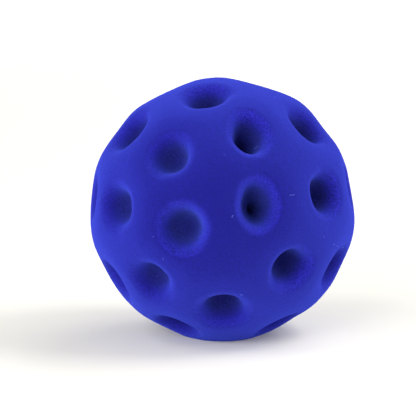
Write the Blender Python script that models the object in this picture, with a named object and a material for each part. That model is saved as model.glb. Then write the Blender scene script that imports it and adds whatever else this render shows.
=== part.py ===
"""A dimpled stress ball of flocked latex foam: a moulded foam core, an adhesive film and the flock coat.

Metres, +Z up. The origin is on the surface that the ball rests on, under the ball's centre.
"""

import math

import bmesh
import bpy
from mathutils import Vector

# The ball, over its flocked surface.
BALL_DIAMETER = 0.0702
FOOT_FLAT = 0.0019  # how far the foam settles at the foot, where the ball stands on a ring
CROWN_SAG = 0.0005  # how far the crown settles under the ball's own weight

# The layers, from the outside in.
PILE_HEIGHT = 0.0008
FILM_THICKNESS = 0.0002
LAYER_GAP = 0.0003  # left between layers that touch on the real ball

# A dimple is the imprint of a mould stud: a rounded nose, a tapered side and a rounded lip.
STUD_NOSE_RADIUS = 0.0042
STUD_SIDE_LENGTH = 0.0034
STUD_TAPER = 64  # degrees, from the land to the side
LIP_RADIUS = 0.0026

# The land between the dimples dips a little towards each of them.
LAND_DIP_RADIUS = 0.0120
LAND_DIP_DEPTH = 0.0009

# Two long dimples carry a second, smaller pit, where a prong of the flocking fork was pushed in.
LONG_DIMPLE_STRETCH = 1.3  # height against width
LONG_DIMPLE_DEPTH = 1.15  # against the other dimples
PIT_NOSE_RADIUS = 0.0020
PIT_SIDE_LENGTH = 0.0030
PIT_TAPER = 70
PIT_LIP_RADIUS = 0.0020
PRONG_DIAMETER = 0.0016
PRONG_DEPTH = 0.0210  # from the ball's round surface to the prong's tip
PRONG_SIDES = 16

# How finely the surfaces are cut: each edge of an icosahedron is divided into this many.
EDGE_PARTS = 13

# Where the mould's dimple studs stand, as (latitude, longitude, depth, width): the places are in degrees
# and the sizes are against a plain stud's. Longitude 0 faces -Y and 90 faces +X. The studs are about a
# stud and a half apart and follow no regular net.
UPPER_CAP = (
    (68, -20, 1.1, 1.1), (72, 115, 1, 1), (56, 180, 1, 1), (62, -108, 1.2, 1),
)
UPPER_ROW = (
    (40.5, -67.5, 1, 1.12), (31.5, -27, 0.85, 1), (44, 63.5, 1, 1.1), (35, 98, 1, 1),
    (36, 142, 1, 1), (25, 180, 1, 1), (36, -142, 1, 1), (33, -102, 1, 1),
)
MIDDLE_ROW = (
    (6.5, -82.5, 0.9, 1), (6.5, -52.3, 0.8, 1.05), (0.3, -17.5, 1.05, 1.08), (12, 52, 1.2, 1.03),
    (11, 84.5, 0.9, 1), (5, 116, 1, 1), (7, 148, 1, 1), (-5, -178, 1, 1),
    (4, -146, 1, 1), (2, -114, 1, 1),
)
LOWER_ROW = (
    (-30, -69.5, 1, 1), (-25, -35.5, 0.75, 1.03), (-40.6, 0.5, 1, 1.12), (-19, 32.6, 1.2, 1.03),
    (-23.5, 67.5, 1, 1), (-25, 99, 1, 1), (-27, 131, 1, 1), (-32, 168, 1, 1),
    (-26, -156, 1, 1), (-32, -128, 1, 1), (-22, -98, 1, 1),
)
LOWER_CAP = (
    (-57, -39.5, 1, 1), (-57.5, 51.5, 1, 1), (-50, 90, 1, 1), (-57, 135, 1, 1),
    (-64, -170, 1, 1), (-60, -93, 1, 1), (-90, 0, 1, 1),
)
UPPER_LONG, UPPER_PRONG = (43, 15.5), (42, 12.5)
MIDDLE_LONG, MIDDLE_PRONG = (10.5, 15), (8, 18)

BALL_RADIUS = BALL_DIAMETER / 2
FOOT_DROP = BALL_RADIUS - FOOT_FLAT  # from the ball's centre down to the surface it rests on
FILM_INSET = PILE_HEIGHT + LAYER_GAP
CORE_INSET = FILM_INSET + FILM_THICKNESS + LAYER_GAP
DIMPLES = UPPER_CAP + UPPER_ROW + MIDDLE_ROW + LOWER_ROW + LOWER_CAP
STUD = (STUD_NOSE_RADIUS, STUD_SIDE_LENGTH, STUD_TAPER, LIP_RADIUS)
PIT = (PIT_NOSE_RADIUS, PIT_SIDE_LENGTH, PIT_TAPER, PIT_LIP_RADIUS)


def heading(latitude, longitude):
    """The unit vector from the ball's centre to a place on it."""
    up, round_ = math.radians(latitude), math.radians(longitude)
    return Vector((math.cos(up) * math.sin(round_), -math.cos(up) * math.cos(round_), math.sin(up)))


def imprint(reach, nose, side, taper, lip):
    """The depth that a stud leaves at a distance from its axis."""
    sine, cosine = math.sin(math.radians(taper)), math.cos(math.radians(taper))
    nose_end = nose * sine
    side_end = nose_end + side * cosine
    lip_end = side_end + lip * sine
    full_depth = (nose + lip) * (1 - cosine) + side * sine
    if reach < nose_end:
        return full_depth - nose + math.sqrt(nose**2 - reach**2)
    if reach < side_end:
        return full_depth - nose * (1 - cosine) - (reach - nose_end) * sine / cosine
    if reach < lip_end:
        return lip - math.sqrt(lip**2 - (lip_end - reach) ** 2)
    return 0


def reach_from(direction, latitude, longitude, stretch=1):
    """Distance over the ball from a place, which may count for less to the north and south."""
    middle = heading(latitude, longitude)
    over = BALL_RADIUS * direction.angle(middle)
    if stretch == 1:
        return over
    eastward = heading(0, longitude + 90)
    flat = (direction - direction.dot(middle) * middle).normalized() * over
    return math.hypot(flat.dot(eastward) * stretch**0.5, flat.dot(middle.cross(eastward)) / stretch**0.5)


def land_dip(reach):
    """How far the land lies below round, at a distance from a dimple's axis."""
    return LAND_DIP_DEPTH * (1 - min(reach / LAND_DIP_RADIUS, 1) ** 2) ** 2


def dimpled_radius(direction):
    """Distance from the centre to the flocked surface in a direction, before the foot is pressed flat."""
    radius = BALL_RADIUS - CROWN_SAG * max(direction.z, 0) ** 2
    for latitude, longitude, depth, width in DIMPLES:
        reach = reach_from(direction, latitude, longitude) / width
        radius -= land_dip(reach) + depth * imprint(reach, *STUD)
    for place, prong in ((UPPER_LONG, UPPER_PRONG), (MIDDLE_LONG, MIDDLE_PRONG)):
        reach = reach_from(direction, *place, stretch=LONG_DIMPLE_STRETCH)
        radius -= land_dip(reach) + LONG_DIMPLE_DEPTH * imprint(reach, *STUD)
        radius -= imprint(reach_from(direction, *prong, stretch=LONG_DIMPLE_STRETCH), *PIT)
    return radius


def geodesic_directions():
    """A bmesh of unit directions spread evenly over the sphere."""
    bm = bmesh.new()
    bmesh.ops.create_icosphere(bm, subdivisions=1, radius=1)
    bmesh.ops.subdivide_edges(bm, edges=bm.edges[:], cuts=EDGE_PARTS - 1, use_grid_fill=True)
    bmesh.ops.triangulate(bm, faces=bm.faces[:])
    for vert in bm.verts:
        vert.co.normalize()
    return bm


def layer_surface(inset):
    """The ball's surface moved in by an inset, cut flat at the foot and closed there."""
    bm = geodesic_directions()
    for vert in bm.verts:
        vert.co *= dimpled_radius(vert.co) - inset
    cut = bmesh.ops.bisect_plane(
        bm,
        geom=bm.verts[:] + bm.edges[:] + bm.faces[:],
        plane_co=(0, 0, inset - FOOT_DROP),
        plane_no=(0, 0, -1),
        clear_outer=True,
    )
    rim = [item for item in cut["geom_cut"] if isinstance(item, bmesh.types.BMEdge)]
    bmesh.ops.triangle_fill(bm, use_beauty=True, edges=rim, normal=(0, 0, -1))
    bmesh.ops.translate(bm, verts=bm.verts[:], vec=(0, 0, FOOT_DROP))
    bmesh.ops.recalc_face_normals(bm, faces=bm.faces[:])
    return bm


def material(name, colour, roughness):
    made = bpy.data.materials.new(name)
    made.use_nodes = True
    shader = made.node_tree.nodes["Principled BSDF"]
    shader.inputs["Base Color"].default_value = (*colour, 1)
    shader.inputs["Roughness"].default_value = roughness
    shader.inputs["Metallic"].default_value = 0
    made.diffuse_color = (*colour, 1)
    return made


def named_object(name, bm, finish):
    mesh = bpy.data.meshes.new(name)
    bm.to_mesh(mesh)
    bm.free()
    mesh.materials.append(finish)
    mesh.shade_smooth()
    made = bpy.data.objects.new(name, mesh)
    bpy.context.scene.collection.objects.link(made)
    return made


def solid_layer(name, inset, finish):
    return named_object(name, layer_surface(inset), finish)


def shell_layer(name, inset, thickness, finish):
    """A coat with an outer and an inner surface, which the prong holes join."""
    bm = layer_surface(inset)
    inner = layer_surface(inset + thickness)
    bmesh.ops.reverse_faces(inner, faces=inner.faces[:])
    inner_mesh = bpy.data.meshes.new(name + "_inside")
    inner.to_mesh(inner_mesh)
    inner.free()
    bm.from_mesh(inner_mesh)
    bpy.data.meshes.remove(inner_mesh)
    return named_object(name, bm, finish)


def prong_cutter(name, towards):
    """The space that one prong of the fork takes up, from outside the ball to its tip in the foam."""
    tip = BALL_RADIUS - PRONG_DEPTH
    length = BALL_DIAMETER - tip
    bm = bmesh.new()
    bmesh.ops.create_cone(
        bm,
        cap_ends=True,
        segments=PRONG_SIDES,
        radius1=PRONG_DIAMETER / 2,
        radius2=PRONG_DIAMETER / 2,
        depth=length,
    )
    cutter = named_object(name, bm, bpy.data.materials["latex foam"])
    cutter.rotation_mode = "QUATERNION"
    cutter.rotation_quaternion = towards.to_track_quat("Z", "Y")
    cutter.location = towards * (tip + length / 2) + Vector((0, 0, FOOT_DROP))
    cutter.hide_render = True
    cutter.display_type = "WIRE"
    return cutter


def cut_away(piece, cutter):
    hole = piece.modifiers.new(cutter.name, "BOOLEAN")
    hole.operation = "DIFFERENCE"
    hole.solver = "EXACT"
    hole.object = cutter


for left_over in list(bpy.data.objects):
    bpy.data.objects.remove(left_over, do_unlink=True)

latex = material("latex foam", (0.10, 0.12, 0.42), 0.9)
adhesive = material("flock adhesive", (0.03, 0.04, 0.30), 0.45)
pile = material("flock pile", (0.025, 0.03, 0.33), 0.95)
layers = (
    solid_layer("foam_core", CORE_INSET, latex),
    shell_layer("adhesive_coat", FILM_INSET, FILM_THICKNESS, adhesive),
    shell_layer("flock_coat", 0, PILE_HEIGHT, pile),
)
for number, place in enumerate((UPPER_PRONG, MIDDLE_PRONG), start=1):
    prong = prong_cutter(f"prong_{number}", heading(*place))
    for layer in layers:
        cut_away(layer, prong)
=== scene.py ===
"""A velvety, dimpled stress ball: latex foam moulded in one piece, coated with adhesive and flocked.

Metres, +Z up, standing on z = 0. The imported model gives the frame, and the finer surfaces below replace its
solids.
"""

import math
import random

import bmesh
import bpy
import numpy as np
from mathutils import Matrix, Vector, noise


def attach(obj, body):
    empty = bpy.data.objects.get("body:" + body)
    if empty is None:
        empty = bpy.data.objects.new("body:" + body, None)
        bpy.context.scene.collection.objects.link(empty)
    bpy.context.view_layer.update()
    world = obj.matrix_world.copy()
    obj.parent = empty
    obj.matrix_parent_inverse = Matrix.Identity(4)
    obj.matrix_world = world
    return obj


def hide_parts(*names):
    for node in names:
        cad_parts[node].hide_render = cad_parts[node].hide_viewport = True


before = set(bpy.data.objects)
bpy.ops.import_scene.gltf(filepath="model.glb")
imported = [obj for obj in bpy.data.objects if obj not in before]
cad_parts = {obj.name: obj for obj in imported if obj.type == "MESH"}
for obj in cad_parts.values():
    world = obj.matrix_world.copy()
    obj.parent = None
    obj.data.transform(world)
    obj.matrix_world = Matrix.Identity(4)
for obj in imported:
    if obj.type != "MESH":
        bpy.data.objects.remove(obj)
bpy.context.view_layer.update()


# ---------------------------------------------------------------------------------------------------
# The view
# A long lens a little above the table, aimed just left of the ball, so that the ball stands a touch
# right of the middle.

BALL_RADIUS = 0.0351
FOOT_FLAT = 0.0019  # how far the foam settles at the foot, where the ball stands on a ring
ball_centre = Vector((0, 0, BALL_RADIUS - FOOT_FLAT))

VIEW_DISTANCE = 0.5
VIEW_ELEVATION = math.radians(9)
LENS_MM = 164
AIM_LEFT = 0.0037
AIM_UP = 0.0002

camera_data = bpy.data.cameras.new("studio camera")
camera_data.lens = LENS_MM
camera = bpy.data.objects.new("studio camera", camera_data)
bpy.context.scene.collection.objects.link(camera)
aim = ball_centre + Vector((-AIM_LEFT, 0, AIM_UP))
away = Vector((0, -math.cos(VIEW_ELEVATION), math.sin(VIEW_ELEVATION)))
camera.location = aim + away * VIEW_DISTANCE
camera.rotation_euler = (-away).to_track_quat("-Z", "Y").to_euler()
bpy.context.scene.camera = camera


# ---------------------------------------------------------------------------------------------------
# The foam core
# Natural latex, whipped to a foam and dyed blue, poured round the dimple studs of a two-part mould and
# cured in one piece. It is bare only on the walls of two holes, where the flocking fork's prongs stood.

# Where the studs stand, as (latitude, longitude, depth, width), the places in degrees and the sizes
# against a plain stud's. Longitude 0 faces -Y and 90 faces +X. They are about a stud and a half apart
# and follow no regular net.
UPPER_CAP = (
    (68, -20, 1.1, 1.1), (72, 115, 1, 1), (56, 180, 1, 1), (62, -108, 1.2, 1),
)
UPPER_ROW = (
    (40.5, -67.5, 1, 1.12), (31.5, -27, 0.85, 1), (44, 63.5, 1, 1.1), (35, 98, 1, 1),
    (36, 142, 1, 1), (25, 180, 1, 1), (36, -142, 1, 1), (33, -102, 1, 1),
)
MIDDLE_ROW = (
    (6.5, -82.5, 0.9, 1), (6.5, -52.3, 0.8, 1.05), (0.3, -17.5, 1.05, 1.08), (12, 52, 1.2, 1.03),
    (11, 84.5, 0.9, 1), (5, 116, 1, 1), (7, 148, 1, 1), (-5, -178, 1, 1),
    (4, -146, 1, 1), (2, -114, 1, 1),
)
LOWER_ROW = (
    (-30, -69.5, 1, 1), (-25, -35.5, 0.75, 1.03), (-40.6, 0.5, 1, 1.12), (-19, 32.6, 1.2, 1.03),
    (-23.5, 67.5, 1, 1), (-25, 99, 1, 1), (-27, 131, 1, 1), (-32, 168, 1, 1),
    (-26, -156, 1, 1), (-32, -128, 1, 1), (-22, -98, 1, 1),
)
LOWER_CAP = (
    (-57, -39.5, 1, 1), (-57.5, 51.5, 1, 1), (-50, 90, 1, 1), (-57, 135, 1, 1),
    (-64, -170, 1, 1), (-60, -93, 1, 1), (-90, 0, 1, 1),
)
# The two long dimples that the fork's prongs were pushed through, and where each prong went in.
UPPER_DEEP, UPPER_PRONG = (43, 15.5), (42, 12.5)
MIDDLE_DEEP, MIDDLE_PRONG = (10.5, 15), (8, 18)
DEEP_STRETCH = 1.3  # their height against their width
DEEP_DEPTH = 1.15  # against a plain dimple's

# A stud's rounded nose, tapered side and the rounded lip that it leaves, in metres and degrees.
STUD = {"nose": 0.0042, "side": 0.0034, "taper": 64, "lip": 0.0026}
PRONG_PIT = {"nose": 0.0020, "side": 0.0030, "taper": 70, "lip": 0.0020}
LAND_SAG_RADIUS = 0.0120  # the land dips a little towards every dimple
LAND_SAG_DEPTH = 0.0009
CROWN_SAG = 0.0005  # the soft ball settles a little under its own weight
RIM_WANDER = 0.0004  # soft foam never keeps a rim quite round
RIM_WANDER_LENGTH = 0.006
noise.seed_set(5)

# The coats from the outside in, with the gap left between them.
PILE_HEIGHT = 0.0008
FILM_THICKNESS = 0.0002
LAYER_GAP = 0.0003
PRONG_RADIUS = 0.0008
PRONG_SIDES = 24
CORE_BORE_DEPTH = 0.021  # from the ball's round surface to the end of a prong's hole
CORE_EDGE_PARTS = 50  # how many parts each edge of an icosahedron is cut into, for the mesh


def heading(latitude, longitude):
    """The unit vector from the ball's centre to a place on it."""
    up, round_ = math.radians(latitude), math.radians(longitude)
    return np.array((math.cos(up) * math.sin(round_), -math.cos(up) * math.cos(round_), math.sin(up)))


def imprint(reach, nose, side, taper, lip):
    """The depth that a stud leaves, at each distance from its axis."""
    sine, cosine = math.sin(math.radians(taper)), math.cos(math.radians(taper))
    nose_end = nose * sine
    side_end = nose_end + side * cosine
    lip_end = side_end + lip * sine
    full_depth = (nose + lip) * (1 - cosine) + side * sine
    on_nose = full_depth - nose + np.sqrt(np.clip(nose**2 - reach**2, 0, None))
    on_side = full_depth - nose * (1 - cosine) - (reach - nose_end) * sine / cosine
    on_lip = lip - np.sqrt(np.clip(lip**2 - (lip_end - reach) ** 2, 0, None))
    return np.select((reach < nose_end, reach < side_end, reach < lip_end), (on_nose, on_side, on_lip), 0)


def reach_from(directions, latitude, longitude, stretch=1):
    """Distance over the ball from a place, which may count for less to the north and south."""
    middle = heading(latitude, longitude)
    eastward = np.array((math.cos(math.radians(longitude)), math.sin(math.radians(longitude)), 0))
    northward = np.cross(middle, eastward)
    along = directions @ middle
    over = BALL_RADIUS * np.arccos(np.clip(along, -1, 1))
    flat = directions - along[:, None] * middle
    flat *= (over / np.maximum(np.linalg.norm(flat, axis=1), 1e-9))[:, None]
    return np.hypot((flat @ eastward) * stretch**0.5, (flat @ northward) / stretch**0.5)


def dimple_reaches(directions):
    """For every dimple, the distance of each direction from it as on a plain one, and its depth."""
    for latitude, longitude, depth, width in UPPER_CAP + UPPER_ROW + MIDDLE_ROW + LOWER_ROW + LOWER_CAP:
        yield reach_from(directions, latitude, longitude) / width, depth
    for place in (UPPER_DEEP, MIDDLE_DEEP):
        yield reach_from(directions, *place, stretch=DEEP_STRETCH), DEEP_DEPTH


def wandered(directions):
    """The directions moved a little to and fro, so that what is laid out on them comes out uneven."""
    wander = [noise.noise_vector(Vector(way) * BALL_RADIUS / RIM_WANDER_LENGTH) for way in directions]
    ways = directions + np.array(wander) * RIM_WANDER / BALL_RADIUS
    return ways / np.linalg.norm(ways, axis=1)[:, None]


def dimpled_radius(directions):
    """How far the flocked surface is from the ball's centre, in each of the directions."""
    ways = wandered(directions)
    radius = BALL_RADIUS - CROWN_SAG * np.clip(directions[:, 2], 0, 1) ** 2
    for reach, depth in dimple_reaches(ways):
        radius -= LAND_SAG_DEPTH * (1 - np.clip(reach / LAND_SAG_RADIUS, 0, 1) ** 2) ** 2
        radius -= depth * imprint(reach, **STUD)
    for prong in (UPPER_PRONG, MIDDLE_PRONG):
        radius -= imprint(reach_from(ways, *prong, stretch=DEEP_STRETCH), **PRONG_PIT)
    return radius


def ball_surface(edge_parts, inset, relief=None):
    """The ball's surface moved in by an inset, as a bmesh, cut flat and closed at the foot."""
    bm = bmesh.new()
    bmesh.ops.create_icosphere(bm, subdivisions=1, radius=1)
    bmesh.ops.subdivide_edges(bm, edges=bm.edges[:], cuts=edge_parts - 1, use_grid_fill=True)
    bmesh.ops.triangulate(bm, faces=bm.faces[:])
    directions = np.array([vert.co.normalized() for vert in bm.verts])
    radius = dimpled_radius(directions) - inset
    if relief:
        radius += relief(directions)
    for vert, point in zip(bm.verts, directions * radius[:, None]):
        vert.co = point
    bmesh.ops.translate(bm, verts=bm.verts[:], vec=ball_centre)
    cut = bmesh.ops.bisect_plane(
        bm,
        geom=bm.verts[:] + bm.edges[:] + bm.faces[:],
        plane_co=(0, 0, inset),
        plane_no=(0, 0, -1),
        clear_outer=True,
    )
    rim = [item for item in cut["geom_cut"] if isinstance(item, bmesh.types.BMEdge)]
    bmesh.ops.triangle_fill(bm, use_beauty=True, edges=rim, normal=(0, 0, -1))
    bmesh.ops.recalc_face_normals(bm, faces=bm.faces[:])
    return bm


def place_mesh(name, bm, material):
    """Puts a bmesh in the scene as a smooth-shaded object of one material."""
    mesh = bpy.data.meshes.new(name)
    bm.to_mesh(mesh)
    bm.free()
    mesh.materials.append(material)
    mesh.shade_smooth()
    piece = bpy.data.objects.new(name, mesh)
    bpy.context.scene.collection.objects.link(piece)
    return piece


def bore_for_prongs(piece, depth):
    """Cuts the two prong holes into a piece, down to a depth below the ball's round surface."""
    clear = BALL_RADIUS  # how far a prong stands out of the ball
    for prong in (UPPER_PRONG, MIDDLE_PRONG):
        towards = Vector(heading(*prong))
        bm = bmesh.new()
        bmesh.ops.create_cone(
            bm,
            cap_ends=True,
            segments=PRONG_SIDES,
            radius1=PRONG_RADIUS,
            radius2=PRONG_RADIUS,
            depth=depth + clear,
        )
        cutter = place_mesh("prong", bm, piece.data.materials[0])
        middle = ball_centre + towards * (BALL_RADIUS + (clear - depth) / 2)
        turn = towards.to_track_quat("Z", "Y").to_matrix().to_4x4()
        cutter.matrix_world = Matrix.Translation(middle) @ turn
        hole = piece.modifiers.new("prong hole", "BOOLEAN")
        hole.operation = "DIFFERENCE"
        hole.solver = "MANIFOLD"
        hole.object = cutter
        bored = bpy.data.meshes.new_from_object(piece.evaluated_get(bpy.context.evaluated_depsgraph_get()))
        piece.modifiers.clear()
        piece.data = bored
        bpy.data.objects.remove(cutter)


def linear_colour(hex_code):
    """An sRGB hex colour as linear red, green, blue and alpha."""
    parts = [int(hex_code[at : at + 2], 16) / 255 for at in (1, 3, 5)]
    return (*(p / 12.92 if p <= 0.04045 else ((p + 0.055) / 1.055) ** 2.4 for p in parts), 1)


def add_node(material, kind, settings=None, links=None):
    """A node of a kind, with its settings and its sockets' values, linked from other nodes' outputs."""
    node = material.node_tree.nodes.new(kind)
    for name, value in (settings or {}).items():
        if isinstance(name, int) or name in node.inputs:
            node.inputs[name].default_value = value
        else:
            setattr(node, name, value)
    for name, source in (links or {}).items():
        material.node_tree.links.new(source, node.inputs[name])
    return node


# Open-cell latex foam: dull, with pores of about a third of a millimetre that show as a fine dimpling,
# with painted shade in them: the colour is darker where each pore dips.
foam = bpy.data.materials.new("open-cell latex foam")
foam.use_nodes = True
place = add_node(foam, "ShaderNodeTexCoord").outputs["Object"]
pores = add_node(foam, "ShaderNodeTexVoronoi", {"Scale": 1 / 0.00035}, {"Vector": place}).outputs["Distance"]
# Painted shade: the distance that sets the bump also darkens the colour towards the bottom of each pore.
tone = add_node(
    foam,
    "ShaderNodeMix",
    {"data_type": "RGBA", 6: linear_colour("#243496"), 7: linear_colour("#3E52B8")},
    {"Factor": pores},
).outputs[2]
bump = add_node(foam, "ShaderNodeBump", {"Strength": 0.6, "Distance": 0.00015}, {"Height": pores})
shader = foam.node_tree.nodes["Principled BSDF"]
shader.inputs["Roughness"].default_value = 0.9
shader.inputs["IOR"].default_value = 1.52
shader.inputs["Specular IOR Level"].default_value = 0.3
foam.node_tree.links.new(tone, shader.inputs["Base Color"])
foam.node_tree.links.new(bump.outputs["Normal"], shader.inputs["Normal"])

core_inset = PILE_HEIGHT + FILM_THICKNESS + 2 * LAYER_GAP
core_piece = place_mesh("latex_foam_core", ball_surface(CORE_EDGE_PARTS, core_inset), foam)
bore_for_prongs(core_piece, CORE_BORE_DEPTH)
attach(core_piece, "root")
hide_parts("foam_core")


# ---------------------------------------------------------------------------------------------------
# The adhesive coat
# A thin flexible film of blue acrylic flocking adhesive. The moulded ball was dipped in it, so it
# follows every dimple, and the ends of the pile are set in it.

COAT_BORE_DEPTH = 0.020  # deep enough to pass both coats at the bottom of a pit
FILM_EDGE_PARTS = 50


def shell_surface(outer_parts, inner_parts, inset, thickness, relief=None):
    """A coat as a bmesh: its outer surface, and its inner one turned inside out."""
    bm = ball_surface(outer_parts, inset, relief)
    inner = ball_surface(inner_parts, inset + thickness)
    bmesh.ops.reverse_faces(inner, faces=inner.faces[:])
    inside = bpy.data.meshes.new("inside")
    inner.to_mesh(inside)
    inner.free()
    bm.from_mesh(inside)
    bpy.data.meshes.remove(inside)
    return bm


# Cured acrylic adhesive: a satin skin with the faint unevenness of a dipped coat.
adhesive = bpy.data.materials.new("cured flocking adhesive")
adhesive.use_nodes = True
place = add_node(adhesive, "ShaderNodeTexCoord").outputs["Object"]
runs = add_node(adhesive, "ShaderNodeTexNoise", {"Scale": 1 / 0.003, "Detail": 3}, {"Vector": place})
bump = add_node(
    adhesive, "ShaderNodeBump", {"Strength": 0.3, "Distance": 0.0002}, {"Height": runs.outputs["Fac"]}
)
gloss = add_node(
    adhesive, "ShaderNodeMapRange", {"To Min": 0.35, "To Max": 0.55}, {"Value": runs.outputs["Fac"]}
)
shader = adhesive.node_tree.nodes["Principled BSDF"]
shader.inputs["Base Color"].default_value = linear_colour("#1E2590")
shader.inputs["IOR"].default_value = 1.48
adhesive.node_tree.links.new(gloss.outputs["Result"], shader.inputs["Roughness"])
adhesive.node_tree.links.new(bump.outputs["Normal"], shader.inputs["Normal"])

film_inset = PILE_HEIGHT + LAYER_GAP
film_shell = shell_surface(FILM_EDGE_PARTS, FILM_EDGE_PARTS, film_inset, FILM_THICKNESS)
film_piece = place_mesh("adhesive_film", film_shell, adhesive)
bore_for_prongs(film_piece, COAT_BORE_DEPTH)
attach(film_piece, "root")
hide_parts("adhesive_coat")


# ---------------------------------------------------------------------------------------------------
# The flock coat
# Nylon fibres 0.8 mm long, dyed ultramarine and shot into the wet adhesive by a high voltage, so that
# they stand on end as a dense velvet. The field is weak inside the dimples, and the pile thinner there.

TUFT_HEIGHT = 0.00003
TUFT_WIDTH = 0.0010
SWELL_HEIGHT = 0.00012
SWELL_WIDTH = 0.011
PILE_EDGE_PARTS = 86  # the side that shows is cut finer than the side that is set in the adhesive
ROOT_EDGE_PARTS = 40


def pile_relief(directions):
    """The unevenness of the pile's tips: small tufts on broad, faint swells."""
    tufts = [noise.noise(Vector(way) * BALL_RADIUS / TUFT_WIDTH) for way in directions]
    swells = [noise.noise(Vector(way) * BALL_RADIUS / SWELL_WIDTH) for way in directions]
    return TUFT_HEIGHT * np.array(tufts) + SWELL_HEIGHT * np.array(swells)


LIP_SHEEN_MIDDLE = 0.0059  # from a dimple's axis to the middle of the painted sheen band along its lip
LIP_SHEEN_SPREAD = 0.0015
SHEEN_FULL_DEPTH = 1.15  # dimples this deep get the full painted sheen along their lips
SHADE_AND_THINNING_START, SHADE_AND_THINNING_END = 0.0018, 0.0055  # between these depths below the round ball the pile thins and painted shade darkens it


def mark_lip_sheen(bm):
    """Gives each vertex its share of the painted sheen along a dimple's lip, which is 1 along the lips of the
    deepest dimples.
    """
    marks = bm.verts.layers.float.new("lip")
    directions = np.array([(vert.co - ball_centre).normalized() for vert in bm.verts])
    share = np.zeros(len(directions))
    for reach, depth in dimple_reaches(wandered(directions)):
        sheen_strength = min(depth / SHEEN_FULL_DEPTH, 1) ** 2
        share = np.maximum(share, sheen_strength * np.clip(1 - ((reach - LIP_SHEEN_MIDDLE) / LIP_SHEEN_SPREAD) ** 2, 0, 1) ** 2)
    for vert, value in zip(bm.verts, share):
        vert[marks] = value
    return bm


# Nylon flock: end on, the eye looks down between dark saturated fibres; from the side it sees their lit
# flanks, which the shader's sheen gives, helped by a painted sheen that lightens the colour towards a
# grazing view. Along the dimples' lips the colour is lightened further, as painted sheen. Inside the dimples
# it darkens with depth: painted shade, together with the thinner pile there, which also shows a patchier
# grain. A fibre is 0.02 mm thick; the grain is drawn as bundles of 0.45 mm.
flock = bpy.data.materials.new("nylon flock")
flock.use_nodes = True
place = add_node(flock, "ShaderNodeTexCoord").outputs["Object"]
from_centre = add_node(
    flock, "ShaderNodeVectorMath", {"operation": "DISTANCE", 1: ball_centre}, {0: place}
).outputs["Value"]
# How deep into a dimple a place lies: it darkens the colour as painted shade, together with the thinner pile,
# and makes the grain patchier.
thinning_and_shade = add_node(
    flock,
    "ShaderNodeMapRange",
    {
        "interpolation_type": "SMOOTHSTEP",
        "From Min": BALL_RADIUS - SHADE_AND_THINNING_START,
        "From Max": BALL_RADIUS - SHADE_AND_THINNING_END,
    },
    {"Value": from_centre},
).outputs["Result"]
bundles = add_node(
    flock, "ShaderNodeTexNoise", {"Scale": 1 / 0.00045, "Detail": 3, "Roughness": 0.8}, {"Vector": place}
).outputs["Fac"]
lean = add_node(
    flock, "ShaderNodeTexNoise", {"Scale": 1 / 0.007, "Detail": 2, "Roughness": 0.5}, {"Vector": place}
).outputs["Fac"]
dense = add_node(
    flock,
    "ShaderNodeMix",
    {"data_type": "RGBA", 6: linear_colour("#140C6A"), 7: linear_colour("#171070")},
    {"Factor": lean},
).outputs[2]
# Painted sheen: the colour lightens towards a grazing view, on top of the shader's own sheen.
side_on = add_node(flock, "ShaderNodeLayerWeight", {"Blend": 0.5}).outputs["Facing"]
grazing_sheen = add_node(
    flock,
    "ShaderNodeMix",
    {"data_type": "RGBA", 7: linear_colour("#2728A6")},
    {"Factor": side_on, 6: dense},
).outputs[2]
# Painted shade in the dimples, along with the thinner pile: the colour darkens with depth.
dimple_shade_tone = add_node(
    flock,
    "ShaderNodeMix",
    {"data_type": "RGBA", 7: linear_colour("#17175A")},
    {"Factor": thinning_and_shade, 6: grazing_sheen},
).outputs[2]
# The lip attribute is the mask of the painted sheen along the dimples' lips; the colour is lightened there.
lip = add_node(flock, "ShaderNodeAttribute", {"attribute_name": "lip"}).outputs["Fac"]
lip_sheen = add_node(
    flock,
    "ShaderNodeMix",
    {"data_type": "RGBA", 7: linear_colour("#221E92")},
    {"Factor": lip, 6: dimple_shade_tone},
).outputs[2]
sparse = add_node(flock, "ShaderNodeMath", {"operation": "MAXIMUM"}, {0: lip, 1: thinning_and_shade}).outputs["Value"]
darkest = add_node(
    flock, "ShaderNodeMapRange", {"To Min": 0.3, "To Max": -0.9}, {"Value": sparse}
).outputs["Result"]
brightest = add_node(
    flock, "ShaderNodeMapRange", {"To Min": 1.7, "To Max": 2.9}, {"Value": sparse}
).outputs["Result"]
grain = add_node(
    flock, "ShaderNodeMapRange", {}, {"Value": bundles, "To Min": darkest, "To Max": brightest}
).outputs["Result"]
colour = add_node(
    flock, "ShaderNodeVectorMath", {"operation": "SCALE"}, {0: lip_sheen, "Scale": grain}
).outputs["Vector"]
bump = add_node(flock, "ShaderNodeBump", {"Strength": 0.5, "Distance": 0.0002}, {"Height": bundles})
shader = flock.node_tree.nodes["Principled BSDF"]
shader.inputs["Roughness"].default_value = 1.0
shader.inputs["IOR"].default_value = 1.53
shader.inputs["Specular IOR Level"].default_value = 0.0
shader.inputs["Sheen Weight"].default_value = 0.48
shader.inputs["Sheen Roughness"].default_value = 0.7
shader.inputs["Sheen Tint"].default_value = linear_colour("#596EFA")
flock.node_tree.links.new(colour, shader.inputs["Base Color"])
flock.node_tree.links.new(bump.outputs["Normal"], shader.inputs["Normal"])

pile_shell = shell_surface(PILE_EDGE_PARTS, ROOT_EDGE_PARTS, 0, PILE_HEIGHT, pile_relief)
flock_piece = place_mesh("flocked_surface", mark_lip_sheen(pile_shell), flock)
bore_for_prongs(flock_piece, COAT_BORE_DEPTH)
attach(flock_piece, "root")
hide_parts("flock_coat")


# ---------------------------------------------------------------------------------------------------
# Loose flock
# A few clumps of fibre that were never set in the adhesive and cling to the pile by static: bits of
# nylon about a millimetre long, lying on the land.

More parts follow.
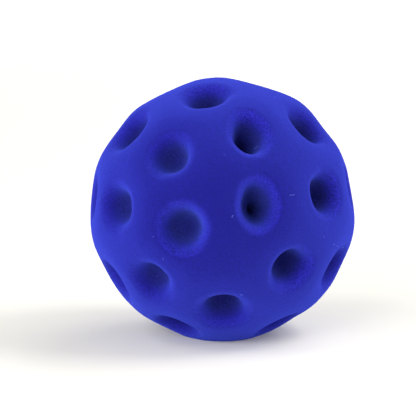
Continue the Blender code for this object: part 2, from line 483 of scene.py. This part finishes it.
LINT_RADIUS = 0.00004
LINT_SIDES = 5
LINT_POINTS = 6
LINT_BEND = math.radians(16)  # the most that a clump turns between two of its points
LINT_LENGTHS = 0.0002, 0.0008
LINT_PLACES = 34
DASH_PLACE = 13.4, 29.0  # the one longer clump, which lies almost level on the land
DASH_BEARING = math.radians(88)
DASH_LENGTH = 0.0014
random.seed(8)


def add_lint(bm, latitude, longitude, bearing, length):
    """A bent closed tube of fibre, lying on the pile from a place on the ball towards a bearing."""
    point = Vector(heading(latitude, longitude))
    north = Vector((0, 0, 1)) - point * point.z
    east = north.cross(point)
    along = (north.normalized() * math.cos(bearing) + east.normalized() * math.sin(bearing)).normalized()
    step = length / (LINT_POINTS - 1) / BALL_RADIUS
    rings = []
    for _ in range(LINT_POINTS):
        height = dimpled_radius(np.array([point]))[0] + LINT_RADIUS
        across = along.cross(point)
        rings.append(
            [
                bm.verts.new(
                    ball_centre
                    + point * (height + LINT_RADIUS * math.sin(turn))
                    + across * LINT_RADIUS * math.cos(turn)
                )
                for turn in (math.tau * side / LINT_SIDES for side in range(LINT_SIDES))
            ]
        )
        point = (point + along * step).normalized()
        along = (along - point * along.dot(point)).normalized()
        along = Matrix.Rotation(random.uniform(-LINT_BEND, LINT_BEND), 3, point) @ along
    for ring, following in zip(rings, rings[1:]):
        for side in range(LINT_SIDES):
            beside = (side + 1) % LINT_SIDES
            bm.faces.new((ring[side], ring[beside], following[beside], following[side]))
    bm.faces.new(rings[0][::-1])
    bm.faces.new(rings[-1])


# The same nylon, its colour painted paler than the pile's as a lit copy: painted light on fibres that no
# other fibre shades, seen from the side, with painted sheen that varies along each clump as its fibres turn.
lint = bpy.data.materials.new("loose nylon fibre")
lint.use_nodes = True
place = add_node(lint, "ShaderNodeTexCoord").outputs["Object"]
twist = add_node(
    lint, "ShaderNodeTexNoise", {"Scale": 1 / 0.0004, "Detail": 2}, {"Vector": place}
).outputs["Fac"]
tone = add_node(
    lint,
    "ShaderNodeMix",
    {"data_type": "RGBA", 6: linear_colour("#3E54DA"), 7: linear_colour("#7C92FA")},
    {"Factor": twist},
).outputs[2]
shader = lint.node_tree.nodes["Principled BSDF"]
shader.inputs["Roughness"].default_value = 0.5
shader.inputs["IOR"].default_value = 1.53
lint.node_tree.links.new(tone, shader.inputs["Base Color"])

bm = bmesh.new()
add_lint(bm, *DASH_PLACE, DASH_BEARING, DASH_LENGTH)
for _ in range(LINT_PLACES):
    add_lint(
        bm,
        math.degrees(math.asin(random.uniform(-0.9, 0.98))),
        random.uniform(-180, 180),
        random.uniform(0, math.tau),
        random.uniform(*LINT_LENGTHS),
    )
bmesh.ops.recalc_face_normals(bm, faces=bm.faces[:])
lint_piece = place_mesh("loose_fibres", bm, lint)
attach(lint_piece, "root")


# ---------------------------------------------------------------------------------------------------
# The studio
# A white table with a painted glow, in a dim white room, with six softboxes round it, none of them between
# the ball and any view of it.

FLOOR_HALF_WIDTH = 3
GLOW_FROM, GLOW_TO = 0.05, 1.5  # distances from the ball between which the table's painted glow grows
BALL_GLOW, FAR_GLOW = 0.08, 0.85

# A matt white acrylic sheet with a painted glow: painted light, least under the ball and growing away from
# it.
acrylic = bpy.data.materials.new("white acrylic with painted glow")
acrylic.use_nodes = True
place = add_node(acrylic, "ShaderNodeTexCoord").outputs["Object"]
far = add_node(acrylic, "ShaderNodeVectorMath", {"operation": "LENGTH"}, {0: place}).outputs["Value"]
# Painted light: the table glows more the farther it lies from the ball.
painted_glow = add_node(
    acrylic,
    "ShaderNodeMapRange",
    {
        "interpolation_type": "SMOOTHSTEP",
        "From Min": GLOW_FROM,
        "From Max": GLOW_TO,
        "To Min": BALL_GLOW,
        "To Max": FAR_GLOW,
    },
    {"Value": far},
).outputs["Result"]
shader = acrylic.node_tree.nodes["Principled BSDF"]
shader.inputs["Base Color"].default_value = linear_colour("#F5F3EA")
shader.inputs["Roughness"].default_value = 0.9
shader.inputs["Emission Color"].default_value = linear_colour("#FFFDF6")
acrylic.node_tree.links.new(painted_glow, shader.inputs["Emission Strength"])

bm = bmesh.new()
bmesh.ops.create_grid(bm, x_segments=1, y_segments=1, size=FLOOR_HALF_WIDTH)
floor = place_mesh("studio_floor", bm, acrylic)

# A dim white room, with its walls washed with light close to the table.
WALL_BRIGHTNESS = 1.0
ROOM_BRIGHTNESS = 0.3
WASH_FULL, WASH_END = 0.06, 0.09  # sines of the angles above the table where the wash fades
world = bpy.data.worlds.new("studio")
bpy.context.scene.world = world
world.use_nodes = True
towards = add_node(world, "ShaderNodeTexCoord").outputs["Generated"]
height = add_node(world, "ShaderNodeSeparateXYZ", {}, {0: towards}).outputs["Z"]
room = add_node(
    world,
    "ShaderNodeMapRange",
    {
        "From Min": WASH_FULL,
        "From Max": WASH_END,
        "To Min": WALL_BRIGHTNESS,
        "To Max": ROOM_BRIGHTNESS,
    },
    {"Value": height},
).outputs["Result"]
world.node_tree.links.new(room, world.node_tree.nodes["Background"].inputs["Strength"])
world.node_tree.nodes["Background"].inputs["Color"].default_value = (1, 1, 1, 1)


SOFTBOX_DISTANCE = 0.9
SOFTBOX_SIZE = 0.5
SOFTBOXES = (
    ("left low softbox", 12, -75, 1.9),
    ("left high softbox", 45, -70, 1.8),
    ("front softbox", 17, -30, 5.7),
    ("right low softbox", 9, 75, 2.4),
    ("right high softbox", 45, 90, 4.4),
    ("back softbox", 45, 145, 2.2),
)
for name, latitude, longitude, watts in SOFTBOXES:
    lamp_data = bpy.data.lights.new(name, "AREA")
    lamp_data.shape = "SQUARE"
    lamp_data.size = SOFTBOX_SIZE
    lamp_data.energy = watts
    lamp = bpy.data.objects.new(name, lamp_data)
    bpy.context.scene.collection.objects.link(lamp)
    direction = Vector(heading(latitude, longitude))
    lamp.location = ball_centre + direction * SOFTBOX_DISTANCE
    lamp.rotation_euler = direction.to_track_quat("Z", "Y").to_euler()

bpy.context.scene.view_settings.view_transform = "Standard"
